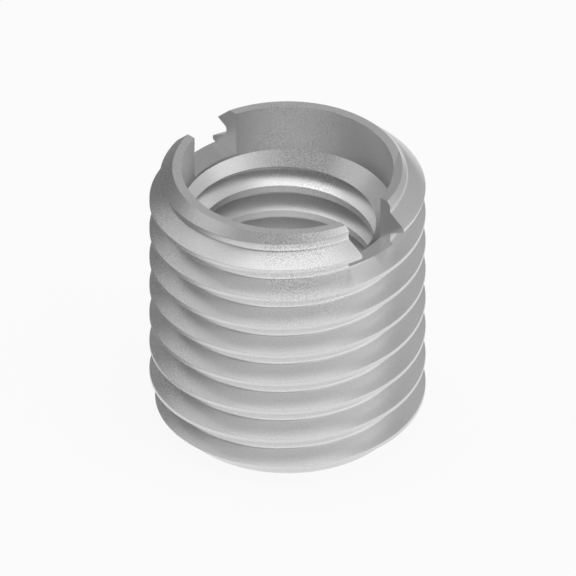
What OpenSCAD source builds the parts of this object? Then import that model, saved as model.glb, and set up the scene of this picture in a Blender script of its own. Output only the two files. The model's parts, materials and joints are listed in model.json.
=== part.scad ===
/* [Insert] */
// Length over both end faces
insert_length = 17; // [14:0.5:19]
// Wall between the screw and the tapped hole, from nominal radius to nominal radius
wall = 2; // [1.75:0.25:4]

/* [Outer thread] */
// Pitch of the outer thread
outer_pitch = 2; // [1.75:0.25:2.5]
// Direction in which the outer groove leaves the top face, in degrees from the slot
outer_start = 90; // [0:5:355]

/* [Inner thread] */
// Nominal diameter of the screw that the inner thread takes
inner_d = 12; // [8:1:16]
// Pitch of the inner thread
inner_pitch = 1.75; // [1.5:0.25:2]
// Direction in which the inner groove meets the counterbore's floor, in degrees from the slot
inner_start = 20; // [0:5:355]

/* [Top end] */
// Width of the 45 degree chamfer round the top face
top_chamfer = 1.325; // [0.5:0.025:1.4]
// Depth of the plain counterbore below the top face
counterbore_depth = 3; // [2:0.1:5]
// Room round the screw in the counterbore, measured on the diameter
screw_clearance = 0.3; // [0.2:0.05:0.4]
// Width of the driving slot
slot_w = 3.4; // [2:0.1:5]
// Depth of the driving slot below the top face
slot_depth = 2.8; // [1:0.1:4]

/* [Bottom end] */
// Width of the 45 degree chamfer round the bottom face
bottom_chamfer = 1.4; // [0.5:0.05:1.4]
// Room round the screw where the bottom countersink opens, measured on the diameter
countersink_clearance = 0.3; // [0.2:0.05:0.4]

/* [Hidden] */

// Flats that one turn of a thread is drawn with
turn_steps = 45;
// How far a cutter reaches past the surface that it opens, as a share of its size
overcut = 1 / 16;

// Metric thread form: a 60 degree triangle with an eighth of its height cut from the crest of
// the outer thread, and a quarter of it filled in at the root
flank_slope = tan(30);
thread_share = 5 / 8 * sqrt(3) / 2;

// Radii of both threads
inner_root_r = inner_d / 2;
inner_crest_r = inner_root_r - thread_share * inner_pitch;
outer_r = inner_root_r + wall;
outer_root_r = outer_r - thread_share * outer_pitch;

// Where the ends are cut
counterbore_r = inner_root_r + screw_clearance / 2;
countersink_r = inner_root_r + countersink_clearance / 2;
counterbore_z = insert_length - counterbore_depth;

// A right-hand helical groove from z_low to z_high. Its middle is at height z_start in the
// direction start. Its section is a trapezium, w_in wide at radius r_in and w_out at r_out.
module helical_groove(pitch, r_in, w_in, r_out, w_out, z_start, start, z_low, z_high) {
    step = pitch / turn_steps;
    first = floor((z_low - z_start) / step);
    last = ceil((z_high - z_start) / step);
    section = [[r_in, -w_in / 2], [r_out, -w_out / 2], [r_out, w_out / 2], [r_in, w_in / 2]];
    corners = len(section);
    far_end = corners * (last - first);
    points = [
        for (i = [first:last])
            let (a = start + 360 * i / turn_steps)
                for (p = section) [p[0] * cos(a), p[0] * sin(a), z_start + step * i + p[1]]
    ];
    sides = [
        for (i = [0:corners:far_end - 1], k = [0:corners - 1])
            let (a = i + k, b = i + (k + 1) % corners)
                each [[a, b, a + corners], [b, b + corners, a + corners]]
    ];
    near_face = [[0, 2, 1], [0, 3, 2]];
    far_face = [for (t = near_face) [far_end + t[0], far_end + t[2], far_end + t[1]]];
    polyhedron(points, concat(sides, near_face, far_face));
}

// Cut from outside: a quarter of the pitch wide at its floor, and open past the crests
module outer_groove() {
    floor_w = outer_pitch / 4;
    open_r = outer_r + overcut * outer_pitch;
    open_w = floor_w + 2 * flank_slope * (open_r - outer_root_r);
    helical_groove(outer_pitch, outer_root_r, floor_w, open_r, open_w,
        insert_length, outer_start, -outer_pitch, insert_length + outer_pitch);
}

// Cut from the bore: an eighth of the pitch wide at its floor, and open past the crests
module inner_groove() {
    floor_w = inner_pitch / 8;
    open_r = inner_crest_r - overcut * inner_pitch;
    open_w = floor_w + 2 * flank_slope * (inner_root_r - open_r);
    helical_groove(inner_pitch, open_r, open_w, inner_root_r, floor_w,
        counterbore_z, inner_start, -inner_pitch, counterbore_z + inner_pitch);
}

// The turned blank: bore, countersink and chamfer at the bottom, chamfer, counterbore and
// countersink at the top
module blank() {
    rotate_extrude($fn = turn_steps)
        polygon([
            [inner_crest_r, countersink_r - inner_crest_r],
            [countersink_r, 0],
            [outer_r - bottom_chamfer, 0],
            [outer_r, bottom_chamfer],
            [outer_r, insert_length - top_chamfer],
            [outer_r - top_chamfer, insert_length],
            [counterbore_r, insert_length],
            [counterbore_r, counterbore_z],
            [inner_crest_r, counterbore_z - (counterbore_r - inner_crest_r)]
        ]);
}

// One straight slot across the whole top for a wide driver
module driving_slot() {
    reach = 2 * outer_r * (1 + overcut);
    translate([-reach / 2, -slot_w / 2, insert_length - slot_depth])
        cube([reach, slot_w, slot_depth * (1 + overcut)]);
}

module insert_body() {
    color("#b4b4b4")
        difference() {
            blank();
            outer_groove();
            inner_groove();
            driving_slot();
        }
}

insert_body();
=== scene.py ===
import json
import math

import bmesh
import bpy
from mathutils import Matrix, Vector


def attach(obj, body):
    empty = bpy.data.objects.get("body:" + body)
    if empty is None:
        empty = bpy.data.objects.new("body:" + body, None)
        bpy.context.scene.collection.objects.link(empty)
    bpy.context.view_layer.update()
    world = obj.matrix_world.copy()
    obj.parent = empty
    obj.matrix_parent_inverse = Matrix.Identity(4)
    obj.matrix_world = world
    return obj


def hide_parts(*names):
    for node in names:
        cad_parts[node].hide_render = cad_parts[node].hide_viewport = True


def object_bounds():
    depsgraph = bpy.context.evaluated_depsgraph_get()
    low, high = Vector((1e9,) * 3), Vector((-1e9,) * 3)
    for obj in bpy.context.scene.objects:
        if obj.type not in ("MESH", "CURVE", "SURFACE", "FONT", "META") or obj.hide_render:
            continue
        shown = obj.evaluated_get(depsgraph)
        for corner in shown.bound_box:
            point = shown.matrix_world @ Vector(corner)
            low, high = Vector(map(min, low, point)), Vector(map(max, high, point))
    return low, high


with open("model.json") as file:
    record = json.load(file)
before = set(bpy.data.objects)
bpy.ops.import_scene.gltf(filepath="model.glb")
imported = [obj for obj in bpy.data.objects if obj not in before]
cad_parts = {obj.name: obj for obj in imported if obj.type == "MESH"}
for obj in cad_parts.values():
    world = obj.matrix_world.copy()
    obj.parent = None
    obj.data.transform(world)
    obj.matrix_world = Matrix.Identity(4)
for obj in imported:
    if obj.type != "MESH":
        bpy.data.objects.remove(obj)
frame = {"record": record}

bl_info = {
    "name": "Threaded insert",
    "version": (1, 0, 0),
    "blender": (4, 5, 0),
    "location": "3D View > Sidebar > Insert",
    "description": "Models a slotted steel thread insert and the studio that shows it",
    "category": "Add Mesh",
}

MM = 0.001

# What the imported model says: its box at rest, and its mounts by name
CAD_LOW, CAD_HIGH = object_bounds()
MOUNTS = {mount["name"]: mount for mount in frame["record"]["mounts"]}
NODE = "insert_body"

# Metric thread form: a 60 degree triangle with an eighth of its height cut from the crest of
# the outer thread, and a quarter of it filled in at the root. The depth that is left and the
# widths of the flats are shares of the pitch.
THREAD_SHARE = 5 / 8 * math.sqrt(3) / 2
OUTER_CREST_SHARE, OUTER_ROOT_SHARE = 1 / 8, 1 / 4
INNER_CREST_SHARE, INNER_ROOT_SHARE = 1 / 4, 1 / 8

# Points closer than this are one point
MERGE = 0.0005 * MM
# Faces that turn by more than this meet in a crisp edge
CRISP_ANGLE = math.radians(20)
# The longest step that a rounded corner of a thread is drawn with
ROUND_STEP = 0.035 * MM
# How steeply the unit normal of a 45 degree countersink rises, and how near counts as that
COUNTERSINK_RISE, RISE_NEAR = math.sqrt(0.5), 0.05

# Most of a noise lies between these values, which are taken for its floor and its top
NOISE_LOW, NOISE_HIGH = 0.35, 0.65
# Where the blast didn't bite, the steel is this far from the pits' colour to the skin's
EVEN_SKIN = 0.5
# Where the pits are painted darker and bumped deeper, a painted sparkle where the highlights glint,
# as distances from the axis along a level line, the picture's left to right
ACROSS = (math.sqrt(0.5), math.sqrt(0.5), 0)
# On the left of the thread: where that starts, where it is full, and how deep it then is
SIDE_START, SIDE_FULL, SIDE_SPARKLE = -4.6 * MM, -6.4 * MM, 0.7
# In a band over the front and back: its middle, and how far from there it is full and ends
BAND_MIDDLE, BAND_FULL, BAND_END = 0.7 * MM, 1 * MM, 4 * MM
# The heights between which the band grows to full, and its share below them
BAND_LOW, BAND_HIGH, BAND_LOW_SHARE = 10 * MM, 13 * MM, 0.2
# Share of the bite and painted sparkle that is left between the clouds
CLOUD_GAP_SHARE = 0.4

WHITE = (1, 1, 1, 1)
# Makes a Map Range node ease in and out
SMOOTH = {"interpolation_type": "SMOOTHSTEP"}

# Flats that a full turn of the grey card has
CARD_STEPS = 72
# What the camera sees lies between these distances from it
NEAREST, FARTHEST = 1 * MM, 2000 * MM

# Name, degrees from the camera's side towards the picture's right, degrees above the floor,
# width and height in metres, and brightness, where 1 is white
SOFT_BOXES = (
    ("front_strip", -12, 11, 0.52, 0.20, 0.95),
    ("front_right_strip", 48, 11, 0.58, 0.20, 1.0),
    ("front_right_box", 30, 38, 0.20, 0.20, 0.75),
    ("right_box", 75, 42, 0.30, 0.30, 0.8),
    ("low_right_box", 92, 16, 0.30, 0.30, 0.5),
    ("rear_right_box", 130, 26, 0.35, 0.35, 0.25),
    ("rear_box", 172, 68, 0.32, 0.30, 0.6),
    ("rear_left_box", -125, 60, 0.35, 0.35, 0.42),
    ("low_left_box", -130, 33, 0.16, 0.16, 0.35),
    ("left_box", -85, 38, 0.30, 0.30, 0.42),
    ("overhead_box", 0, 88, 0.40, 0.40, 0.92),
)


def mount_radius(name):
    """The radius of a round mount, in metres."""
    return MOUNTS[name]["dims"]["r_mm"] * MM


class InsertSizes(bpy.types.PropertyGroup):
    """Sizes of the insert, all in metres and radians"""

    length: bpy.props.FloatProperty(
        name="Length", description="Over both end faces",
        default=CAD_HIGH.z - CAD_LOW.z, unit="LENGTH")
    outer_r: bpy.props.FloatProperty(
        name="Outer radius", description="Over the crests of the outer thread",
        default=mount_radius("outer_thread"), unit="LENGTH")
    outer_pitch: bpy.props.FloatProperty(
        name="Outer pitch", description="Rise of the outer thread in one turn",
        default=2 * MM, unit="LENGTH")
    outer_start: bpy.props.FloatProperty(
        name="Outer start", description="Direction in which the outer groove leaves the top face",
        default=math.radians(90), unit="ROTATION")
    inner_r: bpy.props.FloatProperty(
        name="Inner radius", description="Nominal radius of the screw",
        default=mount_radius("inner_thread"), unit="LENGTH")
    inner_pitch: bpy.props.FloatProperty(
        name="Inner pitch", description="Rise of the inner thread in one turn",
        default=1.75 * MM, unit="LENGTH")
    inner_start: bpy.props.FloatProperty(
        name="Inner start",
        description="Direction in which the inner groove meets the counterbore's floor",
        default=math.radians(20), unit="ROTATION")
    counterbore_r: bpy.props.FloatProperty(
        name="Counterbore radius", description="Radius of the plain wall below the top face",
        default=mount_radius("counterbore"), unit="LENGTH")
    counterbore_depth: bpy.props.FloatProperty(
        name="Counterbore depth", description="Depth of the plain wall below the top face",
        default=MOUNTS["counterbore"]["dims"]["length_mm"] * MM, unit="LENGTH")
    slot_w: bpy.props.FloatProperty(
        name="Slot width", description="Width of the driving slot",
        default=3.4 * MM, unit="LENGTH")
    slot_depth: bpy.props.FloatProperty(
        name="Slot depth", description="Depth of the driving slot below the top face",
        default=CAD_HIGH.z - MOUNTS["driving_slot"]["pos_m"][2], unit="LENGTH")
    top_chamfer: bpy.props.FloatProperty(
        name="Top chamfer", description="Width of the 45 degree chamfer round the top face",
        default=1.325 * MM, unit="LENGTH")
    bottom_chamfer: bpy.props.FloatProperty(
        name="Bottom chamfer", description="Width of the 45 degree chamfer round the bottom face",
        default=1.4 * MM, unit="LENGTH")
    root_round: bpy.props.FloatProperty(
        name="Root round", description="How far the corners of the outer thread's root are rounded",
        default=0.12 * MM, unit="LENGTH")
    corner_break: bpy.props.FloatProperty(
        name="Corner break", description="How far the threads' other corners are rounded",
        default=0.01 * MM, unit="LENGTH")
    turn_steps: bpy.props.IntProperty(
        name="Turn steps", description="Flats that one turn is modelled with",
        default=144, min=24)


class SteelLook(bpy.types.PropertyGroup):
    """Finish of the steel, outside and in the bore, where it is painted brighter as painted light
    """

    colour: bpy.props.StringProperty(
        name="Colour", description="Colour of the skin between the pits, as sRGB hex",
        default="#ededed")
    # Where the highlights glint, the pits are painted this dark: painted shade, as painted sparkle
    pit_colour: bpy.props.StringProperty(
        name="Pit colour", description="Colour of the deepest pits, as sRGB hex",
        default="#c7c7c7")
    # In the bore the steel is painted brighter: painted light against the shade that the bore holds
    bore_colour: bpy.props.StringProperty(
        name="Bore colour", description="Colour of the skin between the bore's pits, as sRGB hex",
        default="#fcfcfc")
    bore_pit_colour: bpy.props.StringProperty(
        name="Bore pit colour", description="Colour of the bore's deepest pits, as sRGB hex",
        default="#e0e0e0")
    roughness: bpy.props.FloatProperty(
        name="Roughness", description="How far the blasting spreads a reflection",
        default=0.34, min=0, max=1, subtype="FACTOR")
    grain: bpy.props.FloatProperty(
        name="Grain", description="Width of one pit of the blasting",
        default=0.09 * MM, unit="LENGTH")
    pit_depth: bpy.props.FloatProperty(
        name="Pit depth", description="Depth of the pits of the blasting",
        default=0.006 * MM, unit="LENGTH")
    patch_width: bpy.props.FloatProperty(
        name="Patch width", description="Width of the clouds that the pits come and go in",
        default=1.5 * MM, unit="LENGTH")
    least_bite: bpy.props.FloatProperty(
        name="Least bite", description="Share of the pits' depth where the blast bit least",
        default=0.15, min=0, max=1, subtype="FACTOR")


class StudioLook(bpy.types.PropertyGroup):
    """Floor, light and camera"""

    floor_colour: bpy.props.StringProperty(
        name="Floor colour", description="Colour of the floor, as sRGB hex", default="#fafafa")
    floor_size: bpy.props.FloatProperty(
        name="Floor size", description="Length of each side of the floor",
        default=1.2, unit="LENGTH")
    floor_glow: bpy.props.FloatProperty(
        name="Floor glow", description="Share of the floor's brightness that needs no lamp",
        default=0.88, min=0, max=1, subtype="FACTOR")
    card_colour: bpy.props.StringProperty(
        name="Card colour", description="Colour of the grey card, as sRGB hex",
        default="#7c7c7c")
    card_foot_colour: bpy.props.StringProperty(
        name="Card foot colour", description="Colour of the card's lighter foot, as sRGB hex",
        default="#b4b4b4")
    card_foot_z: bpy.props.FloatProperty(
        name="Card foot height", description="Height up to which the card has its foot's colour",
        default=6 * MM, unit="LENGTH")
    card_grey_z: bpy.props.FloatProperty(
        name="Card grey height", description="Height from which the card has its own colour",
        default=20 * MM, unit="LENGTH")
    card_turn: bpy.props.FloatProperty(
        name="Card direction",
        description="Turn to the card's middle, from the camera's side to the picture's right",
        default=math.radians(-118), unit="ROTATION")
    card_full: bpy.props.FloatProperty(
        name="Card full", description="How far the card stays opaque to each side of its middle",
        default=math.radians(32), unit="ROTATION")
    card_end: bpy.props.FloatProperty(
        name="Card end", description="How far it reaches while it thins out to nothing",
        default=math.radians(70), unit="ROTATION")
    card_foot_r: bpy.props.FloatProperty(
        name="Card foot radius", description="Radius of the card where it stands on the floor",
        default=13 * MM, unit="LENGTH")
    card_reach: bpy.props.FloatProperty(
        name="Card reach", description="Radius of the card's upper edge",
        default=50 * MM, unit="LENGTH")
    card_height: bpy.props.FloatProperty(
        name="Card height", description="Height of the card's upper edge",
        default=34 * MM, unit="LENGTH")
    room_brightness: bpy.props.FloatProperty(
        name="Room brightness", description="Brightness of the even surround, where 1 is white",
        default=0.3, min=0)
    lamp_distance: bpy.props.FloatProperty(
        name="Lamp distance", description="From the insert to each soft box",
        default=0.5, unit="LENGTH")
    view_elevation: bpy.props.FloatProperty(
        name="Camera elevation", description="Height of the camera above the horizon",
        default=math.radians(35.264), unit="ROTATION")
    view_azimuth: bpy.props.FloatProperty(
        name="Camera direction", description="Turn of the camera from the slot's cross direction",
        default=math.radians(45), unit="ROTATION")
    view_distance: bpy.props.FloatProperty(
        name="Camera distance", description="From the camera to the point that it looks at",
        default=0.2, unit="LENGTH")
    view_width: bpy.props.FloatProperty(
        name="View width", description="Width of what the camera sees",
        default=33.36 * MM, unit="LENGTH")
    view_height: bpy.props.FloatProperty(
        name="Aim height", description="Height of the point that the camera looks at",
        default=8.473 * MM, unit="LENGTH")
    view_shift: bpy.props.FloatProperty(
        name="Aim shift", description="How far the aim lies to the right of the axis",
        default=0.029 * MM, unit="LENGTH")


def deselect_all():
    """Leaves nothing selected, in object mode."""
    if bpy.context.mode != "OBJECT":
        bpy.ops.object.mode_set(mode="OBJECT")
    bpy.ops.object.select_all(action="DESELECT")


def select_only(piece):
    """Makes a piece the only selected one, and the active one."""
    deselect_all()
    bpy.context.view_layer.objects.active = piece
    piece.select_set(True)


def select_vertices(piece, test):
    """In edit mode, selects the vertices whose place passes the test."""
    bpy.ops.mesh.select_mode(type="VERT")
    bpy.ops.mesh.select_all(action="DESELECT")
    mesh = bmesh.from_edit_mesh(piece.data)
    for vertex in mesh.verts:
        vertex.select = test(vertex.co)
    mesh.select_flush_mode()
    bmesh.update_edit_mesh(piece.data)


def made(name):
    """Names the object that was just added, and bakes its place into its mesh."""
    piece = bpy.context.object
    piece.name = piece.data.name = name
    bpy.ops.object.transform_apply(location=True, rotation=True, scale=True)
    return piece


def turned(name, outline, steps):
    """A turned solid. The outline is a list of (radius, height), from the bottom face up."""
    deselect_all()
    radius, height = outline[0]
    bpy.ops.mesh.primitive_circle_add(
        vertices=steps, radius=radius, fill_type="NGON", location=(0, 0, height))
    piece = made(name)
    bpy.ops.object.mode_set(mode="EDIT")
    bpy.ops.mesh.select_all(action="SELECT")
    for next_radius, next_height in outline[1:]:
        bpy.ops.mesh.extrude_region_move(
            TRANSFORM_OT_translate={"value": (0, 0, next_height - height)})
        growth = next_radius / radius
        bpy.ops.transform.resize(
            value=(growth, growth, 1), center_override=(0, 0, next_height))
        radius, height = next_radius, next_height
    bpy.ops.mesh.select_all(action="SELECT")
    bpy.ops.mesh.normals_make_consistent(inside=False)
    bpy.ops.object.mode_set(mode="OBJECT")
    return piece


def thread_profile(low_r, high_r, low_share, high_share, pitch):
    """One pitch of a thread as (radius, height), from the middle of one low flat to the next."""
    half_low = pitch * low_share / 2
    half_high = pitch * high_share / 2
    return [
        (low_r, -pitch / 2),
        (low_r, half_low - pitch / 2),
        (high_r, -half_high),
        (high_r, half_high),
        (low_r, pitch / 2 - half_low),
        (low_r, pitch / 2),
    ]


def threaded_rod(name, profile, low_round, high_round, pitch, high_z, start, low_z, top_z, steps):
    """A right-hand threaded rod that reaches past low_z and top_z. The middle of its high flat
    passes the height high_z in the direction start. The rounds are those of its corners."""
    turns_down = math.ceil((high_z - low_z) / pitch) + 1
    turns_up = math.ceil((top_z - high_z) / pitch) + 1
    outward = Vector((math.cos(start), math.sin(start), 0))
    foot_z = high_z - turns_down * pitch
    spots = [outward * radius + Vector((0, 0, foot_z + height)) for radius, height in profile]

    # A plane that is merged to one point starts the profile, which is drawn out spot by spot
    deselect_all()
    bpy.ops.mesh.primitive_plane_add(size=pitch)
    piece = made(name)
    bpy.ops.object.mode_set(mode="EDIT")
    bpy.ops.mesh.select_all(action="SELECT")
    bpy.ops.mesh.merge(type="CENTER")
    bpy.ops.transform.translate(value=spots[0])
    for here, there in zip(spots, spots[1:]):
        bpy.ops.mesh.extrude_region_move(TRANSFORM_OT_translate={"value": there - here})
    low_corners, high_corners = (spots[1], spots[4]), spots[2:4]
    for corners, offset in ((low_corners, low_round), (high_corners, high_round)):
        select_vertices(
            piece, lambda place: any((place - corner).length < MERGE for corner in corners))
        bpy.ops.mesh.bevel(
            affect="VERTICES", offset_type="OFFSET", offset=offset,
            segments=math.ceil(offset / ROUND_STEP))
    bpy.ops.object.mode_set(mode="OBJECT")

    screw = piece.modifiers.new("thread", "SCREW")
    screw.axis = "Z"
    screw.angle = math.tau
    screw.screw_offset = pitch
    screw.iterations = turns_down + turns_up
    screw.steps = screw.render_steps = steps
    screw.use_merge_vertices = True
    screw.merge_threshold = MERGE
    bpy.ops.object.modifier_apply(modifier=screw.name)

    # Each open end is closed: its edges are extruded, and the new ones collapse to one point
    bpy.ops.object.mode_set(mode="EDIT")
    bpy.ops.mesh.select_all(action="SELECT")
    bpy.ops.mesh.remove_doubles(threshold=MERGE)
    bpy.ops.mesh.select_all(action="DESELECT")
    bpy.ops.mesh.select_non_manifold(
        extend=False, use_wire=False, use_boundary=True, use_multi_face=False,
        use_non_contiguous=False, use_verts=False)
    bpy.ops.mesh.extrude_edges_move()
    bpy.ops.mesh.merge(type="COLLAPSE")
    bpy.ops.mesh.select_all(action="SELECT")
    bpy.ops.mesh.normals_make_consistent(inside=False)
    bpy.ops.object.mode_set(mode="OBJECT")
    return piece


def combine(piece, other, operation):
    """Cuts a piece with another one, or keeps what both share, and deletes the other."""
    select_only(piece)
    boolean = piece.modifiers.new("cut", "BOOLEAN")
    boolean.operation = operation
    boolean.solver = "MANIFOLD"
    boolean.object = other
    bpy.ops.object.modifier_apply(modifier=boolean.name)
    bpy.data.objects.remove(other)


def finish_mesh(piece):
    """Merges the cuts' doubles, and shades the round faces smooth and every edge crisp."""
    select_only(piece)
    bpy.ops.object.mode_set(mode="EDIT")
    bpy.ops.mesh.select_all(action="SELECT")
    bpy.ops.mesh.remove_doubles(threshold=MERGE)
    bpy.ops.mesh.normals_make_consistent(inside=False)
    bpy.ops.object.mode_set(mode="OBJECT")
    bpy.ops.object.shade_smooth_by_angle(angle=CRISP_ANGLE)


def brighten_bore(body, bore_r):
    """Gives the second material to the counterbore's wall and the inner thread: the same steel
    painted brighter there, painted light against the shade that the bore holds. The 45 degree
    countersinks keep the first."""
    body.active_material_index = 1
    bpy.ops.object.mode_set(mode="EDIT")
    bpy.ops.mesh.select_mode(type="FACE")
    bpy.ops.mesh.select_all(action="DESELECT")
    mesh = bmesh.from_edit_mesh(body.data)
    for face in mesh.faces:
        inside = face.calc_center_median().xy.length < bore_r
        countersunk = math.isclose(abs(face.normal.z), COUNTERSINK_RISE, abs_tol=RISE_NEAR)
        face.select = inside and not countersunk
    bmesh.update_edit_mesh(body.data)
    bpy.ops.object.material_slot_assign()
    bpy.ops.object.mode_set(mode="OBJECT")


class MESH_OT_insert_body(bpy.types.Operator):
    """Model the threaded, slotted steel sleeve"""

    bl_idname = "mesh.insert_body"
    bl_label = "Insert body"

    def execute(self, context):
        sizes = context.scene.insert_sizes
        look = context.scene.steel_look
        steps = sizes.turn_steps
        top = sizes.length
        outer_root_r = sizes.outer_r - THREAD_SHARE * sizes.outer_pitch
        inner_crest_r = sizes.inner_r - THREAD_SHARE * sizes.inner_pitch
        counterbore_z = top - sizes.counterbore_depth
        # How far a cutter reaches past the surface that it opens
        past = sizes.outer_pitch / 2

        body = threaded_rod(
            NODE + "_steel",
            thread_profile(outer_root_r, sizes.outer_r, OUTER_ROOT_SHARE, OUTER_CREST_SHARE,
                           sizes.outer_pitch),
            low_round=sizes.root_round, high_round=sizes.corner_break, pitch=sizes.outer_pitch,
            high_z=top - sizes.outer_pitch / 2, start=sizes.outer_start, low_z=0, top_z=top,
            steps=steps)
        blank = turned("blank", [
            (sizes.outer_r - sizes.bottom_chamfer, 0),
            (sizes.outer_r + past, sizes.bottom_chamfer + past),
            (sizes.outer_r + past, top - sizes.top_chamfer - past),
            (sizes.outer_r - sizes.top_chamfer, top),
        ], steps)
        combine(body, blank, "INTERSECT")

        tap = threaded_rod(
            "tap",
            thread_profile(inner_crest_r, sizes.inner_r, INNER_CREST_SHARE, INNER_ROOT_SHARE,
                           sizes.inner_pitch),
            low_round=sizes.corner_break, high_round=sizes.corner_break, pitch=sizes.inner_pitch,
            high_z=counterbore_z, start=sizes.inner_start, low_z=-past, top_z=counterbore_z,
            steps=steps)
        combine(body, tap, "DIFFERENCE")

        # Both cones run on into the tapped hole, so that no two cutters share a face
        drill_r = inner_crest_r - past
        counterbore = turned("counterbore", [
            (drill_r, counterbore_z - (sizes.counterbore_r - drill_r)),
            (sizes.counterbore_r, counterbore_z),
            (sizes.counterbore_r, top + past),
        ], steps)
        combine(body, counterbore, "DIFFERENCE")
        countersink = turned("countersink", [
            (sizes.counterbore_r + past, -past),
            (drill_r, sizes.counterbore_r - drill_r),
        ], steps)
        combine(body, countersink, "DIFFERENCE")

        deselect_all()
        cutter_height = sizes.slot_depth + past
        bpy.ops.mesh.primitive_cube_add(
            size=1, location=(0, 0, top - sizes.slot_depth + cutter_height / 2),
            scale=(2 * (sizes.outer_r + past), sizes.slot_w, cutter_height))
        combine(body, made("slot"), "DIFFERENCE")

        finish_mesh(body)
        # The cuts leave an empty material slot
        body.data.materials.clear()
        # Outside, where the blast reached: a soft grey, with clear pits, painted darker where the
        # highlights glint as painted sparkle
        body.data.materials.append(
            steel("steel_blasted_painted_sparkle", look, look.pit_colour, look.colour))
        # In the bore: the same steel painted a brighter grey, painted light against the shade that
        # the bore holds, with fainter pits
        body.data.materials.append(
            steel("steel_bore_painted_light", look, look.bore_pit_colour, look.bore_colour))
        brighten_bore(body, sizes.counterbore_r)
        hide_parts(NODE)
        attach(body, "root")
        return {"FINISHED"}


def linear(hex_colour):
    """An sRGB hex colour as linear red, green, blue and alpha."""
    parts = [int(hex_colour[i:i + 2], 16) / 255 for i in (1, 3, 5)]
    return [c / 12.92 if c <= 0.04045 else ((c + 0.055) / 1.055) ** 2.4 for c in parts] + [1]


def new_material(name):
    """An empty node material, and its tree."""
    material = bpy.data.materials.new(name)
    material.use_nodes = True
    material.node_tree.nodes.clear()
    return material, material.node_tree


def add_node(tree, kind, inputs, **settings):
    """Adds a node. Settings are its own fields. An input goes by its name, or by its number where
    several share a name. It is a plain value, a socket to link, or a node, which is linked by its
    first output in use."""
    node = tree.nodes.new(kind)
    for field, setting in settings.items():
        setattr(node, field, setting)
    in_use = [socket for socket in node.inputs if socket.enabled]
    for key, value in inputs.items():
        socket = next(found for number, found in enumerate(in_use) if key in (number, found.name))
        if isinstance(value, bpy.types.Node):
            value = next(output for output in value.outputs if output.enabled)
        if isinstance(value, bpy.types.NodeSocket):
            tree.links.new(value, socket)
        else:
            socket.default_value = value
    return node


def steel(name, look, pit_colour, colour):
    """Bare steel, fine blasted. To the eye it is a soft grey sheen, with a fine sparkle of small
    pits. In patches where the highlights glint, the pits are painted darker than the skin round
    them, painted shade and painted sparkle, and their bumps grow."""
    material, tree = new_material(name)
    place = add_node(tree, "ShaderNodeTexCoord", {}).outputs["Object"]
    # Painted sparkle: where the highlights glint, the pits are painted darker and bumped deeper
    bite_and_sparkle = blast_and_sparkle(tree, look, place)
    # The real pits are about 0.02 mm wide. They are drawn wider, so that the render shows them.
    pits = add_node(tree, "ShaderNodeTexNoise", {
        "Vector": place, "Scale": 1 / look.grain, "Detail": 1, "Roughness": 0.5})
    pit = add_node(tree, "ShaderNodeMapRange", {
        "Value": pits, "From Min": NOISE_LOW, "From Max": NOISE_HIGH}, **SMOOTH)
    # Painted shade in the pits, strongest where the highlights glint
    skin_share = add_node(tree, "ShaderNodeMix", {
        "Factor": bite_and_sparkle, "A": EVEN_SKIN, "B": pit}, data_type="FLOAT")
    skin = add_node(tree, "ShaderNodeMix", {
        "Factor": skin_share, "A": linear(pit_colour), "B": linear(colour)}, data_type="RGBA")
    bump = add_node(tree, "ShaderNodeBump", {
        "Height": pits, "Distance": look.pit_depth, "Strength": bite_and_sparkle})
    shader = add_node(tree, "ShaderNodeBsdfPrincipled", {
        "Base Color": skin, "Metallic": 1, "Roughness": look.roughness, "Normal": bump})
    add_node(tree, "ShaderNodeOutputMaterial", {"Surface": shader})
    return material


def blast_and_sparkle(tree, look, place):
    """How deep the pits are and how much darker they are painted, from 0 to 1: a painted sparkle,
    most on the left of the thread and in a band over the front and back of the top, where the
    highlights glint. Clouds break it up."""
    across = add_node(tree, "ShaderNodeVectorMath", {0: place, 1: ACROSS},
                      operation="DOT_PRODUCT")
    side = add_node(tree, "ShaderNodeMapRange", {
        "Value": across, "From Min": SIDE_START, "From Max": SIDE_FULL, "To Max": SIDE_SPARKLE,
    }, **SMOOTH)

    off_middle = add_node(tree, "ShaderNodeMath", {0: across, 1: BAND_MIDDLE},
                          operation="SUBTRACT")
    distance = add_node(tree, "ShaderNodeMath", {0: off_middle}, operation="ABSOLUTE")
    near = add_node(tree, "ShaderNodeMapRange", {
        "Value": distance, "From Min": BAND_END, "From Max": BAND_FULL}, **SMOOTH)
    height = add_node(tree, "ShaderNodeSeparateXYZ", {"Vector": place}).outputs["Z"]
    high = add_node(tree, "ShaderNodeMapRange", {
        "Value": height, "From Min": BAND_LOW, "From Max": BAND_HIGH, "To Min": BAND_LOW_SHARE,
    }, **SMOOTH)
    band = add_node(tree, "ShaderNodeMath", {0: near, 1: high}, operation="MULTIPLY")

    most = add_node(tree, "ShaderNodeMath", {0: side, 1: band}, operation="MAXIMUM")
    clouds = add_node(tree, "ShaderNodeTexNoise", {
        "Vector": place, "Scale": 1 / look.patch_width, "Detail": 2, "Roughness": 0.5})
    cloud = add_node(tree, "ShaderNodeMapRange", {
        "Value": clouds, "From Min": NOISE_LOW, "From Max": NOISE_HIGH,
        "To Min": CLOUD_GAP_SHARE,
    }, **SMOOTH)
    bite_and_sparkle = add_node(tree, "ShaderNodeMath", {0: most, 1: cloud}, operation="MULTIPLY")
    return add_node(tree, "ShaderNodeMapRange", {
        "Value": bite_and_sparkle, "To Min": look.least_bite}, **SMOOTH)


class SCENE_OT_insert_stage(bpy.types.Operator):
    """Set up the white floor, the soft light and the camera"""

    bl_idname = "scene.insert_stage"
    bl_label = "Stage"

    def execute(self, context):
        scene = context.scene
        studio = scene.studio_look
        scene.view_settings.view_transform = "Standard"
        make_floor(studio)
        make_card(studio)
        make_world(scene, studio)
        make_lamps(scene, studio)
        make_camera(scene, studio)
        return {"FINISHED"}


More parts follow.
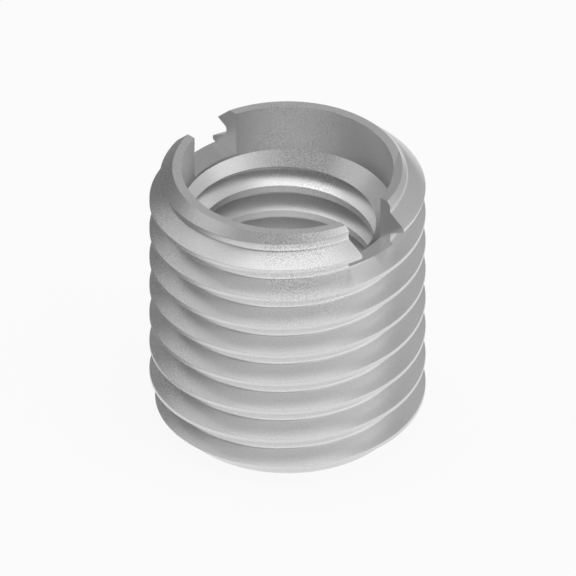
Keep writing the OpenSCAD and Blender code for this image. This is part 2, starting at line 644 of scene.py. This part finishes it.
def make_floor(studio):
    """A large white floor. To the eye, and mirrored in metal or glass, it glows white like a lit
    light table, and what is left of its own colour keeps the insert's shadow."""
    deselect_all()
    bpy.ops.mesh.primitive_plane_add(size=studio.floor_size)
    floor = made("studio_floor")
    material, tree = new_material("white_acrylic_light_table")
    acrylic = add_node(tree, "ShaderNodeBsdfDiffuse", {"Color": linear(studio.floor_colour)})
    glow = add_node(tree, "ShaderNodeEmission", {"Color": WHITE, "Strength": 1})
    path = add_node(tree, "ShaderNodeLightPath", {}).outputs
    mirrored = add_node(tree, "ShaderNodeMath", {
        0: path["Is Glossy Ray"], 1: path["Is Transmission Ray"]}, operation="MAXIMUM")
    seen = add_node(tree, "ShaderNodeMath", {0: path["Is Camera Ray"], 1: mirrored},
                    operation="MAXIMUM")
    share = add_node(tree, "ShaderNodeMath", {0: seen, 1: studio.floor_glow},
                     operation="MULTIPLY")
    table = add_node(tree, "ShaderNodeMixShader", {0: share, 1: acrylic, 2: glow})
    add_node(tree, "ShaderNodeOutputMaterial", {"Surface": table})
    floor.data.materials.append(material)


def make_card(studio):
    """A grey card, curved like part of a bowl round the left of the insert. Only the steel sees
    it, so that the left side takes on its grey in place of the white floor."""
    deselect_all()
    bpy.ops.mesh.primitive_cone_add(
        vertices=CARD_STEPS, radius1=studio.card_foot_r, radius2=studio.card_reach,
        depth=studio.card_height, end_fill_type="NOTHING",
        location=(0, 0, studio.card_height / 2))
    card = made("grey_card")
    bpy.ops.object.mode_set(mode="EDIT")
    middle = towards(studio, studio.card_turn, 0)
    edge = math.cos(studio.card_end)
    select_vertices(card, lambda place: place.xy.normalized().dot(middle.xy) < edge)
    bpy.ops.mesh.delete(type="VERT")
    bpy.ops.object.mode_set(mode="OBJECT")
    card.data.materials.append(card_paper(studio, middle))
    card.visible_camera = card.visible_shadow = card.visible_diffuse = False


def card_paper(studio, middle):
    """Matt grey paper, lighter at its foot. It thins out to nothing on both sides of its middle,
    so that its ends show no edge in the steel."""
    material, tree = new_material("grey_card")
    place = add_node(tree, "ShaderNodeTexCoord", {}).outputs["Object"]
    height = add_node(tree, "ShaderNodeSeparateXYZ", {"Vector": place}).outputs["Z"]
    up = add_node(tree, "ShaderNodeMapRange", {
        "Value": height, "From Min": studio.card_foot_z, "From Max": studio.card_grey_z,
    }, **SMOOTH)
    grey = add_node(tree, "ShaderNodeMix", {
        "Factor": up, "A": linear(studio.card_foot_colour), "B": linear(studio.card_colour),
    }, data_type="RGBA")
    paper = add_node(tree, "ShaderNodeBsdfDiffuse", {"Color": grey})
    level = add_node(tree, "ShaderNodeVectorMath", {0: place, 1: (1, 1, 0)},
                     operation="MULTIPLY")
    outward = add_node(tree, "ShaderNodeVectorMath", {0: level}, operation="NORMALIZE")
    facing = add_node(tree, "ShaderNodeVectorMath", {0: outward, 1: middle},
                      operation="DOT_PRODUCT")
    opaque = add_node(tree, "ShaderNodeMapRange", {
        "Value": facing, "From Min": math.cos(studio.card_end),
        "From Max": math.cos(studio.card_full),
    }, **SMOOTH)
    nothing = add_node(tree, "ShaderNodeBsdfTransparent", {})
    thinned = add_node(tree, "ShaderNodeMixShader", {0: opaque, 1: nothing, 2: paper})
    add_node(tree, "ShaderNodeOutputMaterial", {"Surface": thinned})
    return material


def make_world(scene, studio):
    """An even grey surround, as the walls of a dim room."""
    world = bpy.data.worlds.new("dim_room")
    world.use_nodes = True
    world.node_tree.nodes.clear()
    walls = add_node(world.node_tree, "ShaderNodeBackground", {
        "Color": WHITE, "Strength": studio.room_brightness})
    add_node(world.node_tree, "ShaderNodeOutputWorld", {"Surface": walls})
    scene.world = world


def towards(studio, turn, height):
    """The direction that lies a turn from the camera's side towards the picture's right, and a
    height above the floor, both in radians."""
    turn += studio.view_azimuth
    return Vector((math.sin(turn) * math.cos(height), -math.cos(turn) * math.cos(height),
                   math.sin(height)))


def make_lamps(scene, studio):
    """Soft boxes round the insert, all at one distance and facing it."""
    for name, turn, height, width, tall, brightness in SOFT_BOXES:
        lamp = bpy.data.lights.new(name, "AREA")
        lamp.shape = "RECTANGLE"
        lamp.size, lamp.size_y = width, tall
        # At pi watts a square metre, a box looks just white
        lamp.energy = math.pi * width * tall * brightness
        box = bpy.data.objects.new(name, lamp)
        scene.collection.objects.link(box)
        away = towards(studio, math.radians(turn), math.radians(height))
        box.location = away * studio.lamp_distance
        box.rotation_euler = away.to_track_quat("Z", "Y").to_euler()
        box.visible_camera = False


def make_camera(scene, studio):
    """A parallel view, as catalogue pictures of small parts have."""
    back = towards(studio, 0, studio.view_elevation)
    right = towards(studio, math.radians(90), 0)
    lens = bpy.data.cameras.new("camera")
    lens.type = "ORTHO"
    lens.ortho_scale = studio.view_width
    lens.clip_start, lens.clip_end = NEAREST, FARTHEST
    camera = bpy.data.objects.new("camera", lens)
    scene.collection.objects.link(camera)
    aim = Vector((0, 0, studio.view_height)) + right * studio.view_shift
    camera.location = aim + back * studio.view_distance
    camera.rotation_euler = back.to_track_quat("Z", "Y").to_euler()
    scene.camera = camera


class VIEW3D_PT_insert(bpy.types.Panel):
    """Buttons and settings for each part of the model"""

    bl_label = "Threaded insert"
    bl_space_type = "VIEW_3D"
    bl_region_type = "UI"
    bl_category = "Insert"

    def draw(self, context):
        layout = self.layout
        for operator in OPERATORS:
            layout.operator(operator.bl_idname)
        for group, settings_name in GROUPS.items():
            box = layout.box()
            settings = getattr(context.scene, settings_name)
            for name in group.__annotations__:
                box.prop(settings, name)


GROUPS = {InsertSizes: "insert_sizes", SteelLook: "steel_look", StudioLook: "studio_look"}
OPERATORS = (MESH_OT_insert_body, SCENE_OT_insert_stage)


def register():
    """Makes the settings, operators and panel known to Blender."""
    for group, name in GROUPS.items():
        bpy.utils.register_class(group)
        setattr(bpy.types.Scene, name, bpy.props.PointerProperty(type=group))
    for item in (*OPERATORS, VIEW3D_PT_insert):
        bpy.utils.register_class(item)


def unregister():
    """Takes them away again."""
    for item in (VIEW3D_PT_insert, *OPERATORS):
        bpy.utils.unregister_class(item)
    for group, name in GROUPS.items():
        delattr(bpy.types.Scene, name)
        bpy.utils.unregister_class(group)


def main():
    """Builds the insert and its stage."""
    register()
    bpy.ops.mesh.insert_body()
    bpy.ops.scene.insert_stage()


if __name__ == "__main__":
    main()
